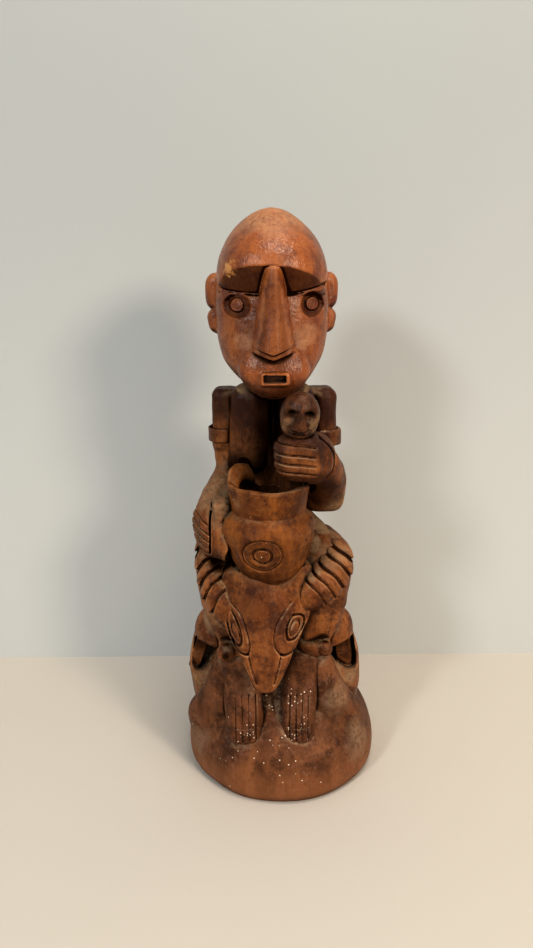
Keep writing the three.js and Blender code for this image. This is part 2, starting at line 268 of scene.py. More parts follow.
def base(f):
    rows = [
        (0, 0, 60.5, -58.5, 59), (3, 0, 62.4, -60.2, 60.6), (8, 0, 63.9, -61.4, 61.6),
        (18, 0, 63.9, -61.4, 61.4), (29, -0.5, 61.2, -59.2, 59.2), (38, -1, 57, -55, 55.5),
        (46, -1.5, 50.6, -49, 50), (53, -2.5, 42, -40, 43), (59, -3.5, 33, -31, 36),
        (66, AXIS, 22, -21, 27),
    ]
    d = oval(f, rows, 2.0, 1.0)
    # The apron that runs up from the plinth between each foot and the loop beside it.
    for side in (1, -1):
        x = mirrored(side)
        apron = [(x(42), -16, 38, 16), (x(35.5), -23, 56, 13), (x(32), -24, 72, 9.5), (x(29.5), -21, 86, 6)]
        d = join(d, limb(f, apron, 8), 7)
        inner = -36 if side < 0 else 24.5
        fill = limb(f, [(inner, -22, 44, 12), (inner, -27, 62, 9.4), (inner, -27, 80, 7.4)], 6)
        d = join(d, fill, 6)
    # The rough ground between the feet.
    rough = unit(1 - ((f.x + 6.6) / 6) ** 2) * unit(1 - ((f.z - 50) / 26) ** 2)
    rough = rough * (f.y < -20)
    d = d + rough * wobble(f, 4.2, 0.16, 4) + wobble(f, 46, 0.45, 3)
    return both(d, -f.z, 0.5)


def trunk(f):
    rows = [
        (48, AXIS, 42, -8, 44), (62, AXIS, 38, -8, 43), (82, AXIS, 34, -6, 42), (104, AXIS, 32, -5, 42),
        (124, AXIS, 31, -6, 42), (140, AXIS, 30, -7, 40), (154, AXIS, 28, -6, 35),
    ]
    d = oval(f, rows, 2.3, 3)
    # Seen from behind: the buttocks, and the stool's edge that they rest on.
    for side in (1, -1):
        x = mirrored(side)
        d = join(d, ball(f, (x(15), 22, 138), (18, 21, 21)), 4)
        d = join(d, ball(f, (x(30), 6, 140), (14, 17, 17)), 5)
    d = line(f, d, [(AXIS, 44, 158), (AXIS, 46, 146), (AXIS, 45, 134), (AXIS, 43, 122)], 3.2, 2.2)
    d = d + wobble(f, 30, 0.35, 5)
    groove = np.abs(f.z - 113 - 1.2 * np.sin(f.x * 0.07))
    d = d + 1.6 * unit(1 - groove / 2.2)
    groove = np.abs(f.z - 74 - 1.0 * np.sin(f.x * 0.05 + 1))
    return d + 1.4 * unit(1 - groove / 2.0)


def leg(side, f):
    x = mirrored(side)
    rows = [
        (x(12), 16, 166, 13), (x(21), 5, 159, 13), (x(29), -6, 149.5, 14.8), (x(33.5), -13, 138, 15.5),
        (x(33.5), -17, 124, 14), (x(30.6), -21, 110, 11.6), (x(27), -25, 98, 9.2),
        (x(25.5), -28, 88, 8.4),
    ]
    d = limb(f, rows, 13)
    d = join(d, ball(f, (x(36.5), -12, 138), (12.3, 13, 19), (0, side * 0.15, 0)), 4)
    # The shin's front is dressed almost flat, with a soft arris down its outer side.
    d = both(d, half_space(f, (x(32), -30.5, 118), (side * 0.28, -1, -0.12)), 3)
    return d + wobble(f, 24, 0.3, 11 + side)


def anklet(side, f):
    x = mirrored(side)
    r = np.hypot(f.x - F(x(25.6)), f.y + 27.5)
    tall = np.abs(f.z - 94.5 + 0.05 * (f.y + 27)) - 4.2
    d = both(r - 10.2, tall, 1.8)
    if side < 0:
        d = join(d, ball(f, (-35, -37.6, 95), (5.9, 5.8, 6.0)), 0.7)
        return cut(d, ball(f, (-32.4, -42.9, 92.2), (0.7, 1.5, 0.7)), 0.3)
    return join(d, ball(f, (27.4, -36, 96.4), (4.6, 4.8, 5.0)), 0.8)


def foot(side, f):
    middle, wide = (-24.2, 12.2) if side < 0 else (9.9, 11.2)
    lean = side * 1.4
    rows = [
        (36.5, middle, wide - 3.5, -50, -20), (39.5, middle, wide - 1, -53.2, -20),
        (43, middle, wide, -53.8, -20), (50, middle, wide + 0.2, -52.6, -18),
        (58, middle + 0.5 * lean, wide + 0.2, -51, -17), (66, middle + lean, wide, -47, -17),
        (74, middle + 1.6 * lean, wide - 0.7, -43, -17),
        (82, middle + 2.6 * lean, wide - 1.7, -40, -18), (92, middle + 4 * lean, wide - 2.8, -38, -18),
    ]
    d = oval(f, rows, 2.9, 3)
    # Toes: long cuts down the foot, and a cross cut for the nails.
    starts = (-29.4, -25.0, -20.7, -16.4) if side < 0 else (4.4, 8.6, 12.4, 16.3)
    for i, x in enumerate(starts):
        top = 69 - 1.2 * abs(i - 1.5)
        cuts = [(x + 0.3 * lean, -48, top), (x, -51, 60), (x - 0.2, -53, 50), (x, -54, 40)]
        d = line(f, d, cuts, 1.0, 0.95, (0, 1, 0.1))
    nails = [(middle - 8.5, -54, 49.8), (middle, -54, 49.2), (middle + 8.5, -54, 49.6)]
    d = line(f, d, nails, 0.8, 0.45)
    return d + wobble(f, 20, 0.25, 17 + side)


def side_loop(side, f):
    x = mirrored(side)
    inset = 2.4 if side < 0 else 0.4
    # The pod, hollowed from the front and above, so that a U-shaped wall is left.
    pod = [
        (38, x(44 - inset), 11.5, -17, 19), (48, x(45.5 - inset), 12.4, -20, 21),
        (60, x(45.5 - 0.6 * inset), 12.9, -22, 22), (72, x(45), 12.9, -22, 21),
        (86, x(43), 12, -19, 19), (100, x(41), 10, -14, 16),
    ]
    d = oval(f, pod, 2.4, 3)
    way = [(x(49.6), -13, 73.6, 5.4), (x(46.4), -13, 80, 8.2), (x(43), -12, 89, 9.8), (x(40), -12, 99, 9.8)]
    d = cut(d, limb(f, way, 8, ((0, 1, 0), 0.5)), 0.8)
    shelf = [(px, py - 10.4, pz - 1.4, r + 4.0) for px, py, pz, r in way]
    d = cut(d, limb(f, shelf, 8, ((0, 1, 0), 1.15)), 0.6)
    # The tongue that hangs in it, cut to a point.
    middle, slant, wide = (x(46.2), 0.10, 10.2) if side > 0 else (x(50.4), 0.32, 7.6)
    tongue = block(f, (middle, -6.6, 81), (wide, 11, 26), 0.8, (0.12, -side * slant, 0))
    tongue = both(tongue, half_space(f, (middle - side * 1.5, -7, 71), (-side * 0.75, 0, -1)), 0.5)
    d = join(d, tongue, 0.4)
    # The hood over it.
    hood = ball(f, (x(37), -4, 93), (16.2, 16.5, 18), (0, side * 0.22, 0))
    hood = both(hood, half_space(f, (x(53), -10, 91.5), (0.36 * side, -0.2, -1)), 0.8)
    d = join(d, hood, 0.5)
    return d + wobble(f, 22, 0.25, 23 + side)


def animal_head(f):
    rows = [
        (82.2, -10.6, 4.6, -65, -57), (84.8, -10.5, 7.6, -67, -52), (90, -10.3, 10.8, -67, -46),
        (98, -10.1, 14.6, -66, -39), (106, -10.2, 18.8, -64, -33), (114, -10.4, 23.2, -61.5, -27),
        (121, -10.0, 26.6, -59, -22), (128, -8.8, 28, -57, -17), (136, -8.2, 29.3, -55, -12),
        (144, -7.8, 29, -52, -8), (151, -7.5, 25, -49, -6),
    ]
    d = oval(f, rows, 2.0, 2.5)
    # The flat plate down the front, from the pot's foot to the tip, and the bevels beside it.
    d = both(d, half_space(f, (-11, -55.2, 122), (0, -1, 0.27)), 1.4)
    for side in (1, -1):
        edge = (-11.6 + side * 7.6, -58.4, 112)
        d = both(d, half_space(f, edge, (side * 0.68, -1, 0.36)), 1.4)
    # Each eye: a brow line, a ring cut round a raised almond, and a lid line below.
    marks = {
        -1: (
            [(-31.9, 132.7), (-24.9, 126.6), (-21.1, 117.5), (-19.7, 110.2), (-20.8, 105.6)],
            [(-32.6, 128.5), (-33.4, 121.2), (-30.9, 112.6), (-26.4, 109)]
            + [(-24.4, 113.1), (-26.7, 121.1), (-30.5, 127.6), (-32.6, 128.5)],
            [(-29.9, 110.6), (-26.9, 105.8), (-20.5, 105.4)],
            (-28.2, 116.4, 2.0, 5.2, -0.42),
        ),
        1: (
            [(5.7, 132.5), (-0.5, 126.5), (-4.3, 119.5), (-4.5, 110.7), (-0.8, 105.0)],
            [(6.7, 124.8), (12.6, 122.9), (13.1, 117.2), (8.3, 111.7)]
            + [(3.5, 112), (2.6, 117.3), (4.2, 122.2), (6.7, 124.8)],
            [(-1.2, 104.8), (2.6, 104.0), (7.4, 104.4)],
            (7.8, 117.6, 2.7, 4.4, 0.5),
        ),
    }
    for side, (brow, ring, lid, almond) in marks.items():
        d = line(f, d, at(-52, brow), 1.2, 1.1, reach=12)
        d = line(f, d, at(-50, ring), 1.1, 1.5, count=26, reach=12)
        d = line(f, d, at(-54, lid), 1.1, 1.3, reach=12)
        cx, cz, rx, rz, turn = almond
        u = ((f.x - cx) * math.cos(turn) - (f.z - cz) * math.sin(turn)) / rx
        v = ((f.x - cx) * math.sin(turn) + (f.z - cz) * math.cos(turn)) / rz
        r = np.sqrt(u * u + v * v)
        front = f.y < -30
        rim = 0.9 * unit(1 - np.abs(r - 1) / 0.36)
        d = d + ((rim - 0.6 * unit(1 - r)) * front).astype(F)
    # The lips, and a line up each side of the muzzle inside them.
    tip = (-10.5, -65, 82.8)
    for edge in (
        [(-27.5, -50, 104.5), (-24.4, -54, 99), (-20.8, -58, 92.4), (-17.4, -61, 86.6), (-14.0, -64, 83.6)],
        [(7.0, -50, 102.5), (4.2, -54, 96.8), (0.6, -58, 90.4), (-2.8, -61, 86.0), (-6.4, -64, 83.4)],
    ):
        d = line(f, d, edge + [tip], 1.1, 1.2, reach=11)
    for edge in (
        [(-20.3, -59, 105.0), (-18.9, -61, 97.9), (-15.6, -63, 88.6)],
        [(-0.8, -59, 104.6), (-2.4, -61, 97.7), (-5.2, -63, 88.4)],
    ):
        d = line(f, d, edge, 1.0, 1.1, reach=11)
    return d + wobble(f, 20, 0.2, 31)


def horn(side, f):
    if side > 0:
        core = [
            (29, 6, 157, 8), (35.2, -7, 152.4, 8.8), (35.4, -16, 148.4, 10.4), (33, -22, 144, 11.6),
            (28.5, -27, 139.5, 12.2), (23.5, -32, 135.5, 12.2), (18.4, -34.5, 131.5, 10),
            (14.2, -35.2, 127.5, 7.4),
        ]
        cuts = (
            [(31.7, 158.5), (39.5, 155), (45.6, 148.8)],
            [(27.6, 155.3), (36.8, 150.9), (43.6, 141)],
            [(22.4, 151.4), (32.4, 146), (39.4, 134.6)],
            [(17.6, 148.2), (27.8, 141.8), (34.6, 129)],
            [(12.4, 144.6), (22.4, 137.4), (29, 123.4)],
        )
    else:
        core = [
            (-42, 8, 158, 8.5), (-45.2, -4, 155, 9), (-45.4, -12, 149, 9.6), (-43.2, -19, 142.5, 10.6),
            (-40.2, -25, 136, 11.6), (-36.6, -31, 130, 12), (-33, -35.5, 124.5, 10.6),
            (-30.4, -38, 119, 8),
        ]
        cuts = (
            [(-45.5, 162.5), (-51, 158), (-54.8, 150.6)],
            [(-40.5, 155), (-48.8, 150.3), (-54.6, 140.5)],
            [(-35.8, 150.2), (-46.4, 144.9), (-52.2, 132.5)],
            [(-31.8, 146), (-43.6, 140), (-49.8, 124.5)],
            [(-28.4, 141), (-38.8, 134.6), (-44.8, 117)],
        )
    d = limb(f, core, 15, ((0.25 * side, 0.8, 0.6), 1.25))
    # The rings lap over each other like petals: a cut, and a swell beside it.
    for points in cuts:
        (ax, az), (bx, bz), (cx, cz) = points
        swell = [(ax + 0.3 * side, az + 2.6), (bx + 2.0 * side, bz + 1.7), (cx + 2.0 * side, cz + 1.0)]
        d = line(f, d, at(-26, swell), 3.0, -0.8, reach=26)
        d = line(f, d, at(-26, points), 1.15, 1.0, reach=26, sharp=0.9)
    return d + wobble(f, 18, 0.15, 41 + side)


def pot(f):
    outline = [
        (0, 145), (9, 145), (14.6, 147), (18.6, 151), (21.6, 156.5), (24.6, 164), (27, 172), (28, 179),
        (26.2, 184.8), (22.8, 188), (21.9, 189), (22.3, 192), (23.4, 198), (24.4, 203.5), (25.2, 213),
        (0, 213),
    ]
    d = turned(f, (POT_X, POT_Y), outline) - 0.2
    cavity = [
        (0, 160.5), (13.5, 160.5), (17.6, 164.5), (20, 173), (19.8, 182), (18.4, 188), (21.3, 203),
        (21.9, 214), (0, 214),
    ]
    d = cut(d, turned(f, (POT_X, POT_Y), cavity), 0.8)
    # What is left of a broken collar stands at the figure's right. The rest of the back is worn low.
    around = [(3.35, 200, 3.0), (2.95, 204.5, 3.9), (2.6, 206.8, 4.5), (2.3, 206.4, 4.7), (2.1, 202, 4.0)]
    lump = [(POT_X + 20.9 * math.cos(a), POT_Y + 20.9 * math.sin(a), z, r) for a, z, r in around]
    d = join(d, limb(f, lump, 10), 1.0)
    angle = np.degrees(np.arctan2(f.y - F(POT_Y), f.x - F(POT_X)))
    turns = [-180, -165, -120, -60, 0, 12, 34, 70, 104, 117, 122, 140, 160, 180]
    tops = [207.4, 206.6, 206.2, 206, 206.2, 204, 197.5, 196.4, 197.5, 199, 211, 212.4, 211, 207.4]
    top = np.interp(angle, turns, tops) + 0.5 * np.sin(f.x * 1.1) * (angle > 10) * (angle < 118)
    d = both(d, (f.z - top).astype(F), 1.2)
    # The concentric rings on its belly.
    cx, cz = POT_X - 3.9, 168.6
    r = np.hypot((f.x - F(cx)) / 1.14, f.z - F(cz))
    front = f.y < POT_Y - 12
    ring_cuts = ((10.2, 1.0, 1.0), (8.6, 0.8, 0.45), (4.8, 1.3, 1.4))
    for radius, width, depth in ring_cuts:
        u = unit(1 - np.abs(r - radius) / width)
        d = d + depth * u * u * (3 - 2 * u) * front
    d = d - 0.5 * unit(1 - r / 3.0) * front
    # Gouge marks low on the belly.
    turn = np.arctan2(f.y - F(POT_Y), f.x - F(POT_X))
    d = d + 0.25 * unit(np.sin(turn * 21 + 0.2 * f.z)) * (f.z < 176)
    return d + wobble(f, 22, 0.4, 51)


def torso(f):
    rows = [
        (150, AXIS, 27, -4, 33), (162, AXIS, 27, -2, 32), (176, AXIS, 26, 0, 29),
        (190, AXIS, 26, 2, 27), (204, AXIS, 27, 2, 28), (218, AXIS, 28, 1, 30), (234, AXIS, 29, 0, 30),
        (244, AXIS, 29, 0, 29), (251, AXIS, 25, 0, 27), (258, AXIS, 16, -4, 25),
        (268, AXIS, 14.5, -6, 24), (278, AXIS, 14, -6, 24),
    ]
    d = oval(f, rows, 2.6, 2)
    # Two long lobes of a chest, straight down their outer edges, with a deep cleft between them.
    for side in (-1, 1):
        x = mirrored(side)
        lobe = block(f, (x(14.6), -1.5, 229.5), (24.6, 22, 60), 9.5, (0.07, -side * 0.085, side * 0.22))
        lobe = both(lobe, half_space(f, (x(17), -10, 204.5), (0, -0.45, -1)), 5)
        d = join(d, lobe, 1.2)
    d = cut(d, ball(f, (AXIS + 0.5, -12, 230), (3.6, 15, 42)), 1.5)
    # Down the back: the spine and the shoulder blades.
    d = line(f, d, [(AXIS, 29, 250), (AXIS, 31, 225), (AXIS, 29, 195), (AXIS, 32, 165)], 3.4, 1.8)
    for side in (1, -1):
        x = mirrored(side)
        blade = [(x(9), 29, 246), (x(13), 30, 236), (x(14), 30, 224), (x(9), 30, 214)]
        d = line(f, d, blade, 1.8, 1.1)
    return d + wobble(f, 26, 0.25, 61)


def shoulder(f, x, reach, edge):
    """A square shoulder, and the upper arm hanging from it."""
    slab = block(f, (x(reach - 0.4), 8, 235.5), (15.4, 22, 40), edge)
    across = block(f, (x(reach - 14), 9, 246), (26, 20, 18.4), 5)
    low = limb(f, [(x(reach - 0.6), 7, 222, 7.2), (x(reach - 0.8), 5.5, 203, 7.2)], 2, ((0, 1, 0), 0.75))
    return join(join(slab, across, 2), low, 3)


def right_arm(f):
    x = mirrored(-1)
    upper = shoulder(f, x, 30.4, 5)
    fore = [
        (-35.6, 5, 197, 7.8), (-38.2, -5, 193, 9.0), (-41.2, -14, 185, 10.5), (-42, -22, 175, 11.3),
        (-41, -28, 167, 10.4),
    ]
    palm = [(-43, -20, 177, 11), (-38.5, -30, 172, 10.8), (-32, -38, 168.5, 8.6)]
    d = join(upper, limb(f, fore, 9), 3.5)
    d = join(d, limb(f, palm, 7, ((0, 0, 1), 0.8)), 4)
    # Four finger cuts that sweep round the outer side towards the pot.
    cuts = (
        [(-53.6, 185.6), (-49, 181.6), (-43.9, 178.6)],
        [(-54.6, 181), (-48.9, 175.9), (-43.5, 173.0)],
        [(-54.2, 176.4), (-48.9, 171.3), (-43.6, 168.6)],
        [(-53.4, 171.2), (-48.4, 166.8), (-43.8, 164.4)],
        [(-51.5, 165.4), (-47.6, 162.0), (-43.8, 160.2)],
    )
    for points in cuts:
        d = line(f, d, at(-26, points), 0.95, 1.1, (0, 1, -0.1), reach=17)
    # The thumb: a flat-topped wedge laid against the pot.
    thumb = block(f, (-35.6, -31.5, 184.5), (10.6, 14, 19), 2.6, (0.06, -0.04, 0.12))
    d = join(d, thumb, 0.8)
    # A recess between forearm and pot, and a drying crack down the hand.
    d = cut(d, ball(f, (-34.4, -22, 198.5), (4.6, 9, 4.6), (0, 0.3, 0)), 1.0)
    crack = [(-42.4, -36, 186), (-42.7, -36, 180), (-42.5, -36, 172), (-43, -36, 162)]
    d = line(f, d, crack, 0.75, 3.2)
    pot_space = [(0, 140), (20, 140), (27.6, 160), (27.6, 180), (22, 189), (25, 208), (0, 208)]
    return cut(d, turned(f, (POT_X, POT_Y), pot_space), 0.5) + wobble(f, 12, 0.3, 71)


def left_arm(f):
    x = mirrored(1)
    upper = shoulder(f, x, 32.8, 6.8)
    elbow = block(f, (28.0, 0, 192.5), (25.4, 26, 34), 9.5, (0, 0.06, 0))
    fore = [(28.4, -3, 191, 12), (28.4, -15, 198, 12), (27, -27, 208, 11.4), (23.5, -36, 216, 11)]
    d = join(join(upper, elbow, 3), limb(f, fore, 8), 4)
    d = both(d, half_space(f, (28, -5, 176.4), (0, -0.25, -1)), 2.5)
    # The fist: a rounded slab of five fingers lying across the pestle, on the heel of the hand.
    heel = ball(f, (17.6, -40, 221.8), (13.6, 15, 15.4), (0, 0.1, 0))
    fist = block(f, (10.6, -47.2, 224.4), (30, 22.5, 28.6), 10.8, (0.04, 0.03, 0))
    fist = both(fist, ball(f, (6, -42, 224.4), (20.5, 26, 19)), 2)
    d = join(d, join(heel, fist, 0.4), 1.2)
    finger = [(-8, -54, 0.9), (0, -58, 0.7), (9, -59, 0), (15.5, -58, -0.8), (18.6, -57, -1.4)]
    for z in (232.8, 227.0, 221.8, 216.8):
        d = line(f, d, [(a, b, z + c) for a, b, c in finger], 1.25, 0.95, reach=14)
        d = cut(d, ball(f, (-6.3, -47, z + 0.8), (3.0, 14, 1.1)), 0.8)
    heel_edge = [(21, -50, 235.5), (26.4, -46, 231), (29.8, -42, 224.3), (29.6, -42, 216.5), (25.6, -46, 211)]
    d = line(f, d, heel_edge, 0.9, 0.7, reach=9)
    # The hole through the fist for the pestle.
    place = local(f, PESTLE_FOOT)
    along = sum(v * n for v, n in zip(place, LEAN))
    stick = np.sqrt(sum((v - along * n) ** 2 for v, n in zip(place, LEAN))) - (PESTLE_RADIUS + 0.35)
    d = cut(d + wobble(f, 16, 0.25, 81), stick, 0.3)
    skull_space = ball(f, SMALL_HEAD, (12.6, 11.8, 13.6))
    return cut(d, skull_space, 0.3)


def armband(side, f):
    cx, cz = (29.6, 223.6) if side > 0 else (-35.8, 226.4)
    r = np.hypot(f.x - F(cx), (f.y - 8) / 1.4)
    d = both(r - 9.6, np.abs(f.z - cz + 0.06 * (f.y - 8)) - 5.4, 2.0)
    return d + wobble(f, 14, 0.25, 91 + side)


EYES = ((-24.3, 306.6, 8.2, 7.2, 4.1), (18.0, 307.0, 7.0, 7.4, 4.0))


def head(f):
    turn_x = AXIS + 1.8
    skull = [
        (262, AXIS, 12, -12, 22), (270, AXIS, 20, -20, 25), (280, AXIS, 26.5, -28, 29),
        (292, AXIS, 30, -34, 31.5), (304, AXIS, 31.8, -40, 32.5), (316, AXIS, 32, -44, 32.5),
        (324, AXIS, 32, -46.5, 32), (332, AXIS, 30.6, -45, 31), (338, AXIS, 28.4, -41.5, 29.6),
        (344, AXIS, 25, -36, 26.5), (350, AXIS, 20, -29.5, 22), (355, AXIS, 14, -22.5, 16.8),
        (358.4, AXIS, 8, -15.5, 10.5), (CROWN, AXIS, 2.2, -9, 3.4),
    ]
    cranium = oval(f, skull, 2.2, 0.8)
    # The brow: everything below an arched edge is cut away, under a slanting facet.
    across = (-40, -35.8, -30, -25, -17, -6, 5, 15.7, 25.4, 32)
    edge_z = np.interp(f.x, across, (317, 319.6, 324.4, 326.8, 328.2, 328.4, 327.2, 323.9, 319, 315))
    u = unit(np.abs(f.x - F(AXIS)) / 32)
    edge_y = -7.2 - 39.2 * (1 - u**2.2) ** F(1 / 2.2)
    under = (edge_z - 1.1 * np.clip(f.y - edge_y, -12, 13.5) - f.z) / 1.45
    cranium = both(cranium, np.where(f.y < 2, under, -5).astype(F), 0.35)
    jaw = [
        (254, AXIS + 0.8, 6, -30, -14), (257, AXIS + 1.4, 11.2, -35, -8),
        (260, AXIS + 1.3, 15.4, -37, -2), (264, AXIS + 1.1, 19.6, -37.5, 5),
        (269, AXIS + 0.6, 24.2, -36.8, 12), (275, AXIS, 28.4, -36, 18), (281, AXIS, 30.8, -35.5, 23),
        (290, AXIS, 32.6, -35, 28), (303, AXIS, 33.4, -34.0, 30), (314, AXIS, 33.2, -32.6, 31),
        (324, AXIS, 30.5, -30, 30), (332, AXIS, 26, -24, 28),
    ]
    face = oval(f, jaw, 2.25, 1.5)
    # The cheeks are two planes that fall back from the nose, with an arris down the temples.
    for side in (1, -1):
        x = mirrored(side)
        face = both(face, half_space(f, (x(29.6), -21, 300), (side * 1.0, -0.85, 0)), 1.6)
    d = join(cranium, face, 0.6)
    crease = [
        (-37, -28, 318), (-31, -30, 315.4), (-22, -33, 313.8), (-12, -34, 313.0),
        (4, -34, 313.0), (12, -33, 314.2), (20, -30, 316.2), (27, -26, 318.4),
    ]
    d = line(f, d, crease, 1.7, 1.8, reach=6)
    # Eyes: a round socket scooped about a raised flat disc, its rim left ragged by the gouge.
    for cx, cz, rx, rz, disc in EYES:
        around = np.arctan2(f.z - cz, f.x - cx)
        ragged = 1 + 0.03 * np.sin(3 * around + cx) + 0.016 * np.sin(11 * around)
        r = np.hypot((f.x - cx) / rx, (f.z - cz) / rz) * ragged
        s = np.hypot(f.x - cx, f.z - cz - 0.4) * ragged
        raised = unit((disc - s) / 0.7)
        ring = unit(1 - np.abs(s - disc * 0.55) / 0.7)
        depth = 3.4 * unit(1 - r * r) ** 0.7 * (1 - 0.72 * raised) + 0.35 * ring * raised
        d = d + (depth * (f.y < -8)).astype(F)
    # The corner of the figure's right eye runs on towards the nose.
    d = line(f, d, [(-17.5, -34, 306), (-13.5, -34, 304.5)], 2.0, 0.8)
    # A hollow beside the nose, above the muzzle's rim.
    for side in (1, -1):
        place, turn = (turn_x - 0.8 + side * 17, -40.8, 291.5), (0, side * -0.12, side * 0.2)
        d = cut(d, ball(f, place, (8.8, 8.8, 14.5), turn), 1.6)
    # Nose: a long rounded wedge, ending in a V with a second edge below it.
    nx = turn_x - 1.4
    for setback, low, k in ((0.0, 280.8, 0.5), (2.2, 277.9, 0.5)):
        t = np.clip((326.5 - f.z) / 45, 0, 1.05)
        width = 5.8 + 6.9 * t**1.1 - 0.35 * setback
        ridge = -48.4 - 7.6 * t**1.1 + setback
        back = -30.0
        a = np.abs(f.x - nx) / width
        b = np.maximum(back - f.y, 0) / (back - ridge)
        r = (a**2.3 + b**2.1) ** F(1 / 2.2)
        n = (r - 1) * np.minimum(width, back - ridge) * 0.8
        n = both(n, (low + 0.42 * np.sqrt((f.x - nx) ** 2 + 1.5) - f.z) * 0.92, k)
        n = both(n, f.z - (327.2 - 0.05 * (f.x - nx) ** 2), 0.8)
        n = both(n, f.y + 20, 1)
        d = join(d, n, 0.6)
    # Muzzle: a bowl that rises either side of the nose, with a slot of a mouth in a thin raised rim.
    mx = turn_x - 0.8
    rows = [
        (255.5, mx, 8, -35.5, -14), (259, mx, 13.5, -38.8, -14), (263, mx, 17.2, -40.8, -14),
        (268, mx - 0.2, 20.0, -41.8, -14), (273, mx - 0.4, 20.6, -41.4, -14),
        (277, mx - 0.6, 19.6, -40.4, -14), (280.5, mx - 0.6, 17.6, -39.2, -14),
        (283.5, mx - 0.6, 14, -38.4, -14),
    ]
    muzzle = oval(f, rows, 2.9, 0.6)
    d = join(d, muzzle, 1.0)
    lips = block(f, (mx + 0.2, -42.0, 267.2), (16.2, 5.6, 7.8), 1.6, (-0.10, 0, 0))
    d = join(d, lips, 0.6)
    slot = block(f, (mx + 0.2, -46, 267.6), (12.8, 18, 4.3), 0.5)
    d = cut(d, slot, 0.3)
    d = join(d, ball(f, (mx + 0.4, -42.8, 270.4), (2.2, 1.4, 1.1)), 0.6)
    d = line(f, d, [(mx - 9, -38, 258.5), (mx, -39, 256.5), (mx + 9, -38, 258.5)], 2.4, 0.6)
    # Ears: flat C-shaped flanges in two lobes, scooped in front.
    for side in (1, -1):
        x = mirrored(side)
        upper = block(f, (x(31.2), 5, 313.8), (17.2, 12, 21.6), 5.4, (0, side * 0.03, 0))
        lower = block(f, (x(30.8), 3.5, 297), (16, 10.5, 15), 5, (0, side * 0.16, 0))
        upper = both(upper, ball(f, (x(29.5), 5, 313.8), (11.4, 9, 13.4)), 1.5)
        lower = both(lower, ball(f, (x(29.5), 3.5, 297.4), (10.4, 8, 9.6)), 1.5)
        ear = join(upper, lower, 0.8)
        ear = cut(ear, ball(f, (x(35.4), -2.6, 313.2), (2.6, 1.9, 7.4)), 1.6)
        ear = cut(ear, ball(f, (x(34.8), -3.4, 297.4), (2.2, 1.7, 4.4)), 1.6)
        d = join(d, ear, 2.6)
    d = d + wobble(f, 24, 0.18, 101)
    # A chip off the brow's end.
    d = cut(d, ball(f, (-31.5, -39.5, 325.5), (4.2, 3.2, 4.0), (0.3, 0.4, 0.3)), 0.6)
    return d


def pestle_head(f):
    """The small carved head, upright round its own middle."""
    d = ball(f, (0, 0, 1.0), (11.1, 10.6, 13.2))
    d = join(d, ball(f, (0, -1.0, -6), (9.0, 8.6, 7.8)), 3)
    # The face is cut back under a brow ridge, which leaves a wedge of a nose and sloping cheeks.
    d = cut(d, block(f, (0, -12.7, 0.8), (21, 9.4, 13.6), 2.6, (0.16, 0, 0)), 0.5)
    for side in (1, -1):
        d = cut(d, ball(f, (side * 5.6, -9.4, 3.2), (4.4, 3.4, 3.9), (0, side * 0.3, side * -0.2)), 1.3)
        cheek = [(side * 9.6, -7, -1.4), (side * 7.6, -8, -4.4), (side * 5.0, -9, -7.0)]
        d = line(f, d, cheek, 1.1, 0.5, reach=7)
    t = unit((8.6 - f.z) / 12.6)
    side_face = np.abs(f.x) - (0.5 + 3.9 * t)
    nose = np.maximum(side_face, -f.y - (10.8 + 1.9 * t) + 0.6 * np.abs(f.x)) * 0.8
    nose = both(both(nose, np.abs(f.z - 2.3) - 6.3, 0.4), f.y + 3, 0.5)
    d = join(d, nose, 0.3)
    return cut(d, block(f, (0, -9.8, -6.8), (6.6, 5, 2.0), 0.8), 0.4)


def pestle(f):
    turn = np.array(Vector((0, 0, 1)).rotation_difference(Vector(LEAN)).to_matrix(), F)
    x, y, z = local(f, SMALL_HEAD)
    g = Field.__new__(Field)
    g.x, g.y, g.z = (x * turn[0, i] + y * turn[1, i] + z * turn[2, i] for i in range(3))
    g.step = f.step
    g.axes = f.axes
    g.part = lambda low, high: ((slice(None),) * 3, g)
    d = pestle_head(g)
    r = np.hypot(g.x, g.y)
    stick = both(r - PESTLE_RADIUS, np.abs(g.z + 44) - 44.2, 0.8)
    return join(d, stick, 1.5)


# Each form's node, function, material slot, box and grid step, in millimetres.
FORMS = [
    ("base", base, "base_wood", (-66, -64, -1), (66, 64, 92), 0.8),
    ("trunk", trunk, "body_wood", (-52, -14, 46), (43, 48, 160), 0.9),
    ("torso", torso, "body_wood", (-40, -22, 148), (31, 36, 280), 0.75),
    ("head", head, "head_wood", (-49, -60, 246), (40, 36, 362), 0.58),
    ("pot", pot, "pot_wood", (-38, -64, 143), (23, -4, 218), 0.55),
    ("animal_head", animal_head, "body_wood", (-38, -69, 78), (20, -3, 154), 0.55),
    ("left_arm", left_arm, "body_wood", (-11, -63, 170), (46, 24, 258), 0.55),
    ("right_arm", right_arm, "body_wood", (-59, -50, 156), (-18, 24, 258), 0.55),
    ("pestle", pestle, "pestle_wood", (-8, -68, 158), (26, -16, 268), 0.45),
]
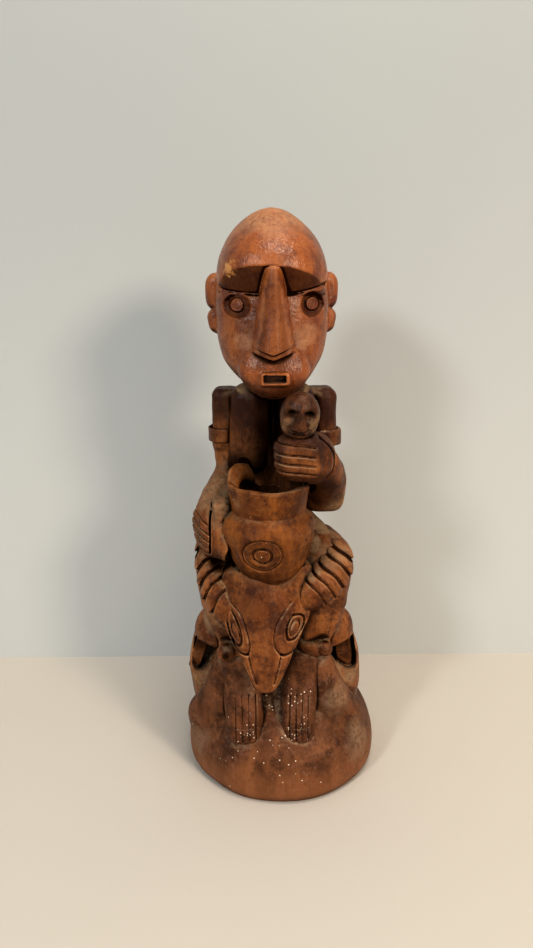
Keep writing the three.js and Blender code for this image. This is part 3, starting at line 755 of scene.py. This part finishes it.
# The same for the forms with a left and a right, the box as near x, far x, front, back, bottom, top.
PAIRED = [
    ("leg", leg, "body_wood", (-4, 56, -42, 33, 76, 182), 0.75),
    ("anklet", anklet, "body_wood", (14, 43, -43, -13, 84, 101), 0.5),
    ("foot", foot, "base_wood", (-1, 44, -58, -14, 32, 95), 0.5),
    ("side_loop", side_loop, "body_wood", (18, 66, -26, 26, 38, 116), 0.55),
    ("horn", horn, "body_wood", (8, 58, -56, 20, 108, 172), 0.5),
    ("armband", armband, "body_wood", (17, 47, -8, 26, 216, 231), 0.5),
]
for side, hand in ((1, "left"), (-1, "right")):
    x = mirrored(side)
    for name, shape, slot, (near, far, front, back, bottom, top), step in PAIRED:
        start, end = sorted((x(near), x(far)))
        low, high = (start, front, bottom), (end, back, top)
        FORMS.append((f"{hand}_{name}", partial(shape, side), slot, low, high, step))

# --------------------------------------
# From fields to meshes.

COARSE = 1.6
whole = Field((-72, -74, -8), (72, 70, 370), COARSE)
whole.d = np.full((len(whole.axes[0]), len(whole.axes[1]), len(whole.axes[2])), 30, F)


def sample(f, points):
    """The distances of a field at points, interpolated."""
    q = np.clip((points - f.low) / f.step, 0, np.array(f.d.shape) - 1.001)
    i = q.astype(int)
    u = q - i
    total = 0
    for n in range(8):
        o = np.array([(n >> 2) & 1, (n >> 1) & 1, n & 1])
        weight = np.prod(np.where(o, u, 1 - u), axis=1)
        j = i + o
        total = total + weight * f.d[j[:, 0], j[:, 1], j[:, 2]]
    return total


def bend(f, points, normals, reach):
    """How the surface turns within a reach: above nought on a ridge, below it in a crease."""
    return sample(f, points + normals * reach) + sample(f, points - normals * reach)


def mesh_of(f, name):
    vdb = openvdb.FloatGrid(background=float(3 * f.step))
    vdb.copyFromArray(f.d.astype(F), tolerance=0.0)
    points, quads = vdb.convertToQuads(0.0)
    points = points * f.step + f.low
    mesh = bpy.data.meshes.new(name)
    mesh.vertices.add(len(points))
    mesh.vertices.foreach_set("co", (points * MM).astype(F).ravel())
    mesh.loops.add(4 * len(quads))
    mesh.loops.foreach_set("vertex_index", quads.astype(np.int32).ravel())
    mesh.polygons.add(len(quads))
    mesh.polygons.foreach_set("loop_start", np.arange(0, 4 * len(quads), 4, dtype=np.int32))
    mesh.polygons.foreach_set("loop_total", np.full(len(quads), 4, np.int32))
    mesh.update(calc_edges=True)
    mesh.polygons.foreach_set("use_smooth", np.ones(len(quads), bool))
    return mesh, points


def put(mesh, name, values):
    mesh.attributes.new(name, "FLOAT", "POINT").data.foreach_set("value", unit(values).astype(F))


fields = {}
for name, shape, slot, low, high, step in FORMS:
    f = Field(low, high, step)
    f.d = shape(f).astype(F)
    fields[name] = f
    if name != "pestle":
        found = whole.part(np.array(low) - 6, np.array(high) + 6)
        slices, g = found
        whole.d[slices] = np.minimum(whole.d[slices], shape(g))

slopes = np.gradient(whole.d, COARSE)
whole.d = whole.d / np.clip(np.sqrt(sum(g * g for g in slopes)), 0.4, 1.1)


def painted_shade_spots(name, x, y, z):
    """Painted shade: where the wood is painted darker than its creases alone would make it, in hollows and
    under overhangs where shade falls.
    """
    if name == "head":
        # Painted shade on the front of the nose and in the eye sockets.
        shade = 0.31 * unit((-46.5 - y) / 3) * (z < 326)  # the nose
        for cx, cz, rx, rz, disc in EYES:
            r = np.hypot((x - cx) / rx, (z - cz) / rz)
            s = np.hypot(x - cx, z - cz - 0.4)
            socket = unit((1.02 - r) / 0.12) * np.clip(s - disc + 0.5, 0.1, 1)
            shade = np.maximum(shade, 0.36 * socket * (y < -8))
        return shade
    if name == "pot":
        # Painted shade on the inside of the pot, below its rim.
        r = np.hypot(x - POT_X, y - POT_Y)
        return 0.7 * unit((22.6 - r) / 1.5) * unit((204.5 - z) / 4) * (z > 159)
    if name == "torso":
        # Painted shade on the chest below the chin and down its middle cleft.
        low = 0.6 * unit((226 - z) / 18)
        return np.maximum(low, 0.5 * unit(1.35 - np.abs(x - AXIS) / 16)) * (y < 0)
    if name == "pestle":
        # Painted shade in the small head's eye sockets and under its nose.
        u, v, w = (a - b for a, b in zip((x, y, z), SMALL_HEAD))
        r = np.hypot((np.abs(u) - 5.8) / 4.6, (w - 3.4) / 4.0)
        under = unit(1.2 - np.abs(u) / 4) * unit(1 - np.abs(w + 5.6) / 2.4)
        return np.maximum(0.34 * unit((1.1 - r) / 0.6), 0.35 * under) * (v < -4)
    if name in ("right_arm", "right_horn", "right_leg", "animal_head", "trunk"):
        # Painted shadow in the deep gap under the figure's right hand.
        r = np.sqrt((x + 36.5) ** 2 + (y + 27) ** 2 + (z - 156) ** 2)
        return 0.55 * unit((12.5 - r) / 5)
    if name.endswith("side_loop"):
        # Painted shade in the recess under each loop's hood.
        reach = np.abs(x - AXIS)
        hood = 91.5 + 0.36 * (reach - 53) - 0.2 * (y + 10)
        recess = (y > -15) * (y < -2) * (np.abs(reach - 45.5) < 8.5) * (z < hood - 0.6)
        return 0.42 * unit((z - 76) / 9) * recess
    return 0


for name, shape, slot, low, high, step in FORMS:
    f = fields[name]
    mesh, points = mesh_of(f, name)
    normals = np.empty(3 * len(points), F)
    mesh.vertex_normals.foreach_get("vector", normals)
    normals = normals.reshape(-1, 3)
    # How enclosed each point is by the whole carving: it paints shade into hollows, and tells where dust
    # gathers.
    near = sample(whole, points + normals * 4) / 4
    far = sample(whole, points + normals * 12) / 12
    shelter = 1 - (0.5 * unit(near) + 0.5 * unit(far))
    put(mesh, "shelter", shelter * (name != "pestle"))
    ridge = bend(f, points, normals, 1.3) / 1.6
    hollow = -(bend(f, points, normals, 3.0) + 1.2) / 5.0
    crease = np.maximum(-ridge, hollow) * (0.5 if "anklet" in name or name == "pestle" else 1)
    put(mesh, "ridge", ridge)
    # The crease attribute also carries the spots of painted shade above.
    put(mesh, "crease", np.maximum(crease, painted_shade_spots(name, *points.T)))
    put(mesh, "upward", normals[:, 2])
    # How much each point faces down, for painted shade on the undersides.
    put(mesh, "downward", -normals[:, 2])
    piece = bpy.data.objects.new(name + "_carved", mesh)
    scene.collection.objects.link(piece)
    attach(piece, "pestle" if name == "pestle" else "carving")
    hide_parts(name)

# --------------------------------------
# Materials.


class Nodes:
    """A short way to write a material's nodes."""

    def __init__(self, name):
        self.material = bpy.data.materials.new(name)
        self.material.use_nodes = True
        self.tree = self.material.node_tree
        self.shader = self.tree.nodes["Principled BSDF"]
        self.place = self.add("ShaderNodeTexCoord").outputs["Object"]

    def add(self, kind, inputs=(), **settings):
        """A node, with its inputs by name or number."""
        node = self.tree.nodes.new(kind)
        for key, value in settings.items():
            setattr(node, key, value)
        for key, value in dict(inputs).items():
            self.link(value, node.inputs[key])
        return node

    def link(self, source, target):
        """Feeds an input from another node's output, or sets it to a constant."""
        if hasattr(source, "node"):
            self.tree.links.new(source, target)
        else:
            target.default_value = source

    def stretch(self, scale):
        return self.add("ShaderNodeMapping", {"Vector": self.place, "Scale": scale}).outputs["Vector"]

    def noise(self, scale, detail=3.0, rough=0.55, where=None, distortion=0.0):
        inputs = {"Scale": scale, "Detail": detail, "Roughness": rough, "Distortion": distortion}
        return self.add("ShaderNodeTexNoise", {"Vector": where or self.place, **inputs}).outputs["Fac"]

    def math(self, operation, a, b=0.0, clamp=False):
        return self.add("ShaderNodeMath", {0: a, 1: b}, operation=operation, use_clamp=clamp).outputs[0]

    def plus(self, a, b, clamp=False):
        return self.math("ADD", a, b, clamp)

    def times(self, a, b, clamp=False):
        return self.math("MULTIPLY", a, b, clamp)

    def swing(self, noise, amount):
        """A noise as an offset to either side of nought."""
        return self.times(self.math("SUBTRACT", noise, 0.5), amount)

    def ramp(self, value, low, high, to_low=0.0, to_high=1.0):
        inputs = {"Value": value, "From Min": low, "From Max": high, "To Min": to_low, "To Max": to_high}
        return self.add("ShaderNodeMapRange", inputs, interpolation_type="SMOOTHSTEP").outputs["Result"]

    def mix(self, share, a, b):
        inputs = {"Factor": share, "A": a, "B": b}
        return self.add("ShaderNodeMix", inputs, data_type="RGBA").outputs["Result"]

    def attribute(self, name):
        return self.add("ShaderNodeAttribute", attribute_name=name).outputs["Fac"]

    def height(self):
        return self.add("ShaderNodeSeparateXYZ", {"Vector": self.place}).outputs["Z"]

    def away_from(self, point):
        """The distance to a point given in millimetres."""
        inputs = {0: self.place, 1: tuple(v * MM for v in point)}
        return self.add("ShaderNodeVectorMath", inputs, operation="DISTANCE").outputs["Value"]


def rgb(red, green, blue):
    return (red, green, blue, 1.0)


def shade(colour, red, green, blue):
    """A colour with each channel scaled."""
    return rgb(colour[0] * red, colour[1] * green, colour[2] * blue)


def grained(n, light, middle, dark, aged, edge, scuff):
    """Wood with long grain, blotched patina, rubbed edges, pores and scuffs."""
    n.grain = n.noise(260, 4, 0.62, n.stretch((1, 1, 0.06)), 0.4)
    n.blotch = n.noise(70, 6, 0.72)
    n.fleck = n.noise(260, 4, 0.7)
    bands = n.noise(46, 3, 0.5, n.stretch((1, 1, 0.3)), 1.2)
    patina = n.noise(24, 5, 0.66, n.stretch((1, 1, 0.7)), 0.6)
    pores = n.noise(1300, 2, 0.5, n.stretch((1, 1, 0.1)))
    tone = n.plus(n.times(bands, 0.6), n.times(n.grain, 0.4))
    colour = n.mix(n.ramp(tone, 0.34, 0.66), middle, light)
    old = rgb(*(0.45 * m + 0.35 * d for m, d in zip(middle[:3], dark[:3])))
    colour = n.mix(n.ramp(patina, 0.44, 0.60, 0.0, aged), colour, old)
    colour = n.mix(n.ramp(n.blotch, 0.45, 0.63, 0.0, 0.8), colour, dark)
    colour = n.mix(n.ramp(n.fleck, 0.52, 0.72, 0.0, 0.5), colour, dark)
    rubbed = n.times(n.ramp(n.attribute("ridge"), 0.08, 0.45), n.ramp(n.blotch, 0.66, 0.40), True)
    colour = n.mix(n.times(rubbed, 0.75), colour, edge or light)
    colour = n.mix(n.ramp(pores, 0.58, 0.74, 0.0, 0.55), colour, dark)
    worn = n.times(n.ramp(n.noise(430, 4, 0.7), 0.50, 0.66), n.ramp(n.noise(29, 3, 0.6), 0.40, 0.62), True)
    return n.mix(n.times(worn, scuff), colour, shade(light, 1.25, 1.7, 3.6))


def dust_and_sheen_on(n, shelter, crease, amount, dust_and_sheen_patches):
    """How much dust lies on what faces up in a hollow, and how pale the patches of x, y, z, reach in
    millimetres are; on the head's crown and cheeks these patches are painted sheen.
    """
    fine = n.noise(420, 3, 0.65)
    drift = n.plus(n.times(fine, 0.4), n.times(n.noise(60, 2, 0.5), 0.6))
    dust_and_sheen = n.times(n.ramp(drift, 0.40, 0.60), n.ramp(n.attribute("upward"), 0.10, 0.65), True)
    dust_and_sheen = n.times(dust_and_sheen, n.ramp(shelter, 0.02, 0.25))
    dust_and_sheen = n.times(n.times(dust_and_sheen, n.ramp(crease, 0.3, 0.05)), amount)
    for x, y, z, reach in dust_and_sheen_patches:
        away = n.plus(n.away_from((x, y, z)), n.swing(drift, 0.05))
        patch = n.ramp(away, reach * MM, 0.4 * reach * MM, 0.0, 0.72)
        patch = n.times(patch, n.ramp(fine, 0.30, 0.66, 0.25, 1.0))
        dust_and_sheen = n.math("MAXIMUM", dust_and_sheen, n.times(patch, n.ramp(crease, 0.35, 0.1)))
    return dust_and_sheen


def flecks(n, amount):
    """White flecks, spilt most thickly over the feet."""
    cells = {"Vector": n.place, "Scale": 500, "Randomness": 1.0}
    cells = n.add("ShaderNodeTexVoronoi", cells, feature="F1")
    dots = n.math("LESS_THAN", cells.outputs["Distance"], 0.22)
    chance = n.add("ShaderNodeSeparateColor", {"Color": cells.outputs["Color"]}).outputs["Red"]
    spilt = n.ramp(n.away_from((-4, -55, 48)), 0.046, 0.012)
    patch = n.times(n.ramp(n.noise(60, 2, 0.5), 0.40, 0.60), spilt)
    return n.times(dots, n.math("GREATER_THAN", n.plus(chance, n.times(patch, amount)), 0.995))


def relief(n):
    height = n.plus(n.times(n.grain, 0.5), n.noise(140, 4, 0.6, n.stretch((1, 1, 0.35))))
    height = n.plus(height, n.times(n.fleck, 0.7))
    height = n.plus(height, n.times(n.noise(700, 3, 0.7), 0.35))
    inputs = {"Strength": 0.5, "Distance": 0.0013, "Height": height}
    return n.add("ShaderNodeBump", inputs).outputs["Normal"]


def wood(
    name, light, middle, dark, dust_and_sheen_colour, polish, dust_amount, speckle=0.0, darker_above_waist=0.0, chip=None, scuff=0.25,
    gloss=0.2, dust_and_sheen_patches=(), worn_foot=0.0, aged=0.5, edge=None, under=0.5,
):
    """Oiled wood, black in its creases from grime and painted shade, bright on its rubbed edges and dusty,
    with pale patches that are painted sheen on the head. An argument sets how much darker it is above the
    figure's waist, under is how dark the painted shade on its undersides is, and chip is where fresh wood
    shows."""
    n = Nodes(name)
    shelter, crease = n.attribute("shelter"), n.attribute("crease")
    colour = grained(n, light, middle, dark, aged, edge, scuff)
    if worn_foot:
        pale = n.ramp(n.height(), 0.032, 0.006, 0.0, worn_foot)
        colour = n.mix(pale, colour, shade(light, 1.3, 1.3, 1.3))
    # Darker above the figure's waist.
    if darker_above_waist:
        height = n.plus(n.height(), n.swing(n.blotch, 0.06))
        colour = n.mix(n.ramp(height, 0.204, 0.240, 0.0, darker_above_waist), colour, shade(dark, 0.56, 0.42, 0.36))
    # Real grime mixed with painted shade: darker in sheltered hollows, in creases and the spots of painted
    # shade, and on undersides.
    soot_and_shade = n.plus(n.ramp(shelter, 0.40, 0.82, 0.0, 0.92), n.ramp(crease, 0.10, 0.55, 0.0, 0.85), True)
    soot_and_shade = n.plus(soot_and_shade, n.ramp(n.attribute("downward"), 0.2, 0.6, 0.0, under), True)
    colour = n.mix(soot_and_shade, colour, shade(dark, 0.16, 0.16, 0.16))
    dust_and_sheen = dust_and_sheen_on(n, shelter, crease, dust_amount, dust_and_sheen_patches)
    colour = n.mix(dust_and_sheen, colour, dust_and_sheen_colour)
    if speckle:
        colour = n.mix(flecks(n, speckle), colour, rgb(0.66, 0.56, 0.44))
    if chip:
        torn = n.plus(n.away_from(chip), n.swing(n.noise(300, 4, 0.7), 0.016))
        colour = n.mix(n.ramp(torn, 0.0066, 0.0048), colour, rgb(0.52, 0.24, 0.07))
    dull = n.plus(soot_and_shade, dust_and_sheen, True)
    rough = n.plus(n.plus(polish, n.times(dull, 0.35)), n.swing(n.noise(90, 3, 0.6), 0.4), True)
    n.link(colour, n.shader.inputs["Base Color"])
    n.link(rough, n.shader.inputs["Roughness"])
    n.link(n.times(n.math("SUBTRACT", 1.0, dull), gloss), n.shader.inputs["Specular IOR Level"])
    n.link(relief(n), n.shader.inputs["Normal"])
    return n.material


# Each wood's light, middle and dark tones, its dust and sheen colour, how dull it is and how much dust lies
# on it.
FINISHES = {
    "head_wood": wood(
        "head_wood", rgb(0.375, 0.118, 0.022), rgb(0.235, 0.060, 0.010), rgb(0.115, 0.023, 0.004),
        rgb(0.44, 0.24, 0.13), 0.30, 0.35, chip=(-31.5, -37.5, 326.2), gloss=0.5, aged=0.3, under=0.68,
        # The head's pale patches on its crown and cheeks are painted sheen.
        dust_and_sheen_patches=[(-6, -15, 356, 30), (-19, -34, 290, 11), (15, -34, 290, 9)],
    ),
    "body_wood": wood(
        "body_wood", rgb(0.320, 0.118, 0.030), rgb(0.170, 0.049, 0.009), rgb(0.046, 0.010, 0.002),
        rgb(0.31, 0.205, 0.12), 0.42, 0.9, darker_above_waist=0.82, edge=rgb(0.40, 0.17, 0.06),
        dust_and_sheen_patches=[
            (-43, -16, 201, 19), (-35, -36, 193, 14), (30, -25, 157, 17), (-39, -28, 119, 13),
            (-53, -22, 69, 13), (46, -22, 65, 13), (33, -14, 186, 13),
        ],
    ),
    "pot_wood": wood(
        "pot_wood", rgb(0.275, 0.093, 0.015), rgb(0.150, 0.044, 0.007), rgb(0.054, 0.014, 0.003),
        rgb(0.26, 0.15, 0.08), 0.44, 0.6, speckle=0.004, gloss=0.18, aged=0.4, edge=rgb(0.42, 0.21, 0.095),
    ),
    "base_wood": wood(
        "base_wood", rgb(0.232, 0.092, 0.036), rgb(0.120, 0.043, 0.016), rgb(0.044, 0.015, 0.005),
        rgb(0.29, 0.185, 0.115), 0.50, 0.9, speckle=0.34, scuff=0.35, gloss=0.12, worn_foot=0.55,
        dust_and_sheen_patches=[(37, -35, 60, 16), (53, -35, 30, 18), (-55, -30, 26, 14)],
    ),
    "pestle_wood": wood(
        "pestle_wood", rgb(0.150, 0.052, 0.016), rgb(0.070, 0.023, 0.007), rgb(0.020, 0.007, 0.003),
        rgb(0.32, 0.20, 0.11), 0.34, 0.6, aged=0.3, dust_and_sheen_patches=[(3, -52, 245.5, 4.8), (17.5, -52, 245.5, 4.8)],
    ),
}
for name, shape, slot, low, high, step in FORMS:
    bpy.data.objects[name + "_carved"].data.materials.append(FINISHES[slot])

# --------------------------------------
# The table, the wall behind it, the light and the camera.


def plain(name, colour, roughness, one_sided=False):
    """Matt paint. A one-sided sheet is a wall, clear from behind, and painted paler near the floor as painted
    light.
    """
    n = Nodes(name)
    paint = n.mix(n.noise(3.0, 2, 0.5), colour, shade(colour, 0.96, 0.96, 0.96))
    if one_sided:
        # Painted light: paler towards the floor, making up for the lamps lighting the wall's top more than
        # its lower part.
        paint = n.mix(n.ramp(n.height(), 0.50, 0.02), paint, rgb(0.54, 0.545, 0.525))
        clear = n.add("ShaderNodeBsdfTransparent")
        behind = n.add("ShaderNodeNewGeometry").outputs["Backfacing"]
        choose = n.add("ShaderNodeMixShader", {0: behind, 1: n.shader.outputs[0], 2: clear.outputs[0]})
        n.link(choose.outputs[0], n.tree.nodes["Material Output"].inputs["Surface"])
    n.link(paint, n.shader.inputs["Base Color"])
    n.link(roughness, n.shader.inputs["Roughness"])
    return n.material


def sheet(name, corners, material):
    mesh = bpy.data.meshes.new(name)
    mesh.from_pydata(corners, [], [range(len(corners))])
    mesh.materials.append(material)
    item = bpy.data.objects.new(name, mesh)
    scene.collection.objects.link(item)
    return item


WALL = 0.12  # how far behind the figure's axis the wall stands
table_paint = plain("table_paint", rgb(0.57, 0.52, 0.455), 0.6)
wall_paint = plain("wall_paint", rgb(0.385, 0.395, 0.385), 0.8, one_sided=True)
sheet("table", [(-3, -3, 0), (3, -3, 0), (3, 3, 0), (-3, 3, 0)], table_paint)
sheet("wall", [(-3, WALL, -0.2), (3, WALL, -0.2), (3, WALL, 3), (-3, WALL, 3)], wall_paint)

world = bpy.data.worlds.new("room")
scene.world = world
world.use_nodes = True
background = world.node_tree.nodes["Background"]
background.inputs["Color"].default_value = rgb(0.92, 0.95, 1.0)
background.inputs["Strength"].default_value = 0.62


def lamp(name, place, aim, size, power, colour):
    data = bpy.data.lights.new(name, "AREA")
    data.shape = "DISK"
    data.size = size
    data.energy = power
    data.color = colour
    item = bpy.data.objects.new(name, data)
    item.location = place
    item.rotation_euler = (Vector(aim) - Vector(place)).to_track_quat("-Z", "Y").to_euler()
    scene.collection.objects.link(item)


lamp("left", (-0.80, -1.05, 0.98), (0, 0, 0.18), 0.24, 9.5, (0.93, 0.98, 1.0))
lamp("right", (0.85, -1.02, 0.80), (0, 0, 0.16), 0.30, 13, (1.0, 0.87, 0.70))
lamp("above", (0.18, -0.30, 1.40), (0, 0, 0.2), 0.40, 7.5, (1.0, 0.95, 0.87))

camera = bpy.data.objects.new("camera", bpy.data.cameras.new("camera"))
camera.data.sensor_width = 36
camera.data.lens = 26.58
camera.data.clip_start = 0.01
DOWN, ROLL = 16, -0.54  # degrees
tilt = Matrix.Rotation(math.radians(90 - DOWN), 4, "X") @ Matrix.Rotation(math.radians(ROLL), 4, "Z")
camera.matrix_world = Matrix.Translation((-0.0086, -0.430, 0.324)) @ tilt
scene.collection.objects.link(camera)
scene.camera = camera
scene.view_settings.view_transform = "Standard"
scene.view_settings.gamma = 0.82
